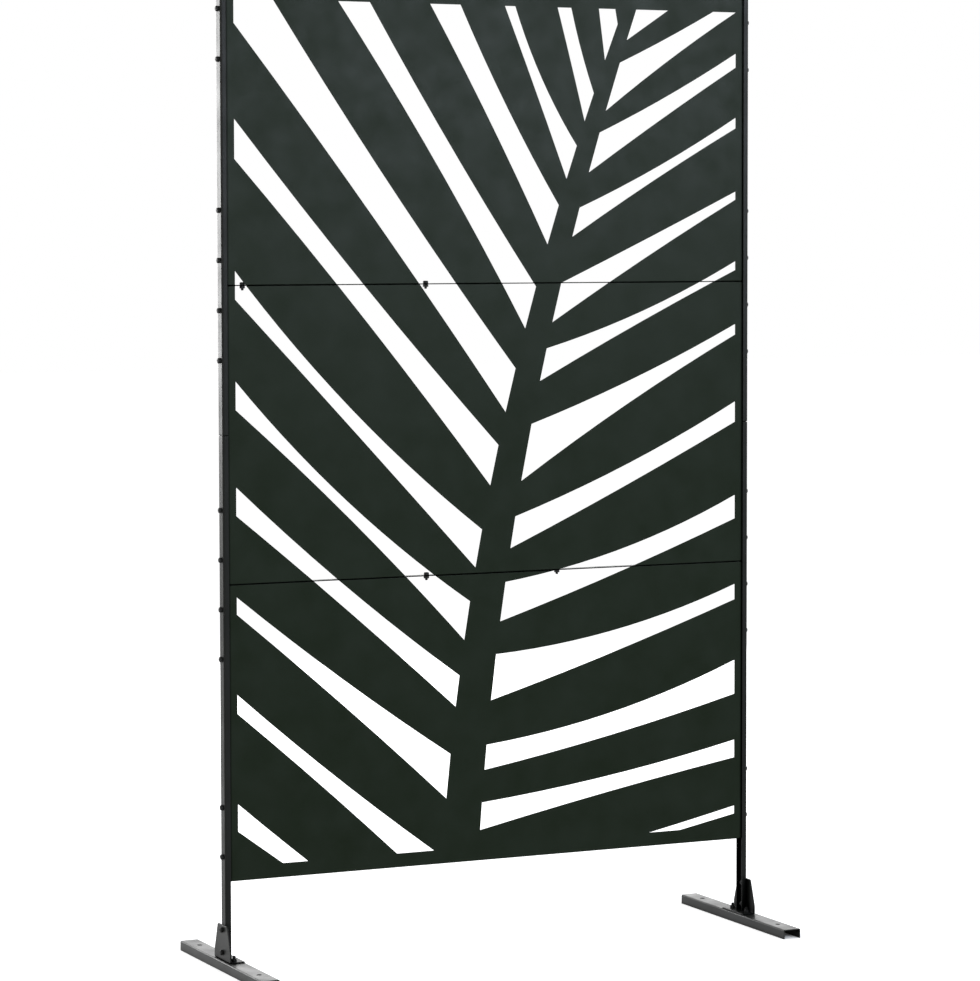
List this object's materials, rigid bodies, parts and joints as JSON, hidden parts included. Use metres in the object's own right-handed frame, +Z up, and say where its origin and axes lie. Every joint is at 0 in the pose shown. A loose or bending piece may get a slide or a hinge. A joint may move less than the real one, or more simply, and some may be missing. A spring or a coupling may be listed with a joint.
{
  "type": "decorative garden screen",
  "caption": "Free-standing garden privacy screen: stacked folded sheet-steel panels with a palm-frond cut-out, bolted into channel posts on channel feet.",
  "frame": {"origin": "on the ground, midway between the two posts, on the posts' centre plane", "axes": "+Z up, +X to the right seen from the front, the screen's front faces -Y"},
  "size_m": [1.221, 0.45, 1.984],
  "materials": {
    "panel_coat": "satin black powder coat",
    "frame_coat": "satin black powder coat",
    "bolt_black": "blackened steel"
  },
  "bodies": {
    "root": {"panel_bottom": "panel_coat", "panel_middle": "panel_coat", "panel_top": "panel_coat", "left_post_lower": "frame_coat", "left_post_upper": "frame_coat", "right_post_lower": "frame_coat", "right_post_upper": "frame_coat", "left_foot": "frame_coat", "right_foot": "frame_coat", "left_bracket": "frame_coat", "right_bracket": "frame_coat", "left_panel_screws": "bolt_black", "right_panel_screws": "bolt_black", "left_panel_nuts": "bolt_black", "right_panel_nuts": "bolt_black", "lower_seam_bolts": "bolt_black", "upper_seam_bolts": "bolt_black", "lower_seam_nuts": "bolt_black", "upper_seam_nuts": "bolt_black", "left_ear_bolts": "bolt_black", "right_ear_bolts": "bolt_black", "left_ear_nuts": "bolt_black", "right_ear_nuts": "bolt_black", "left_foot_bolts": "bolt_black", "right_foot_bolts": "bolt_black", "left_foot_nuts": "bolt_black", "right_foot_nuts": "bolt_black"}
  },
  "joints": []
}
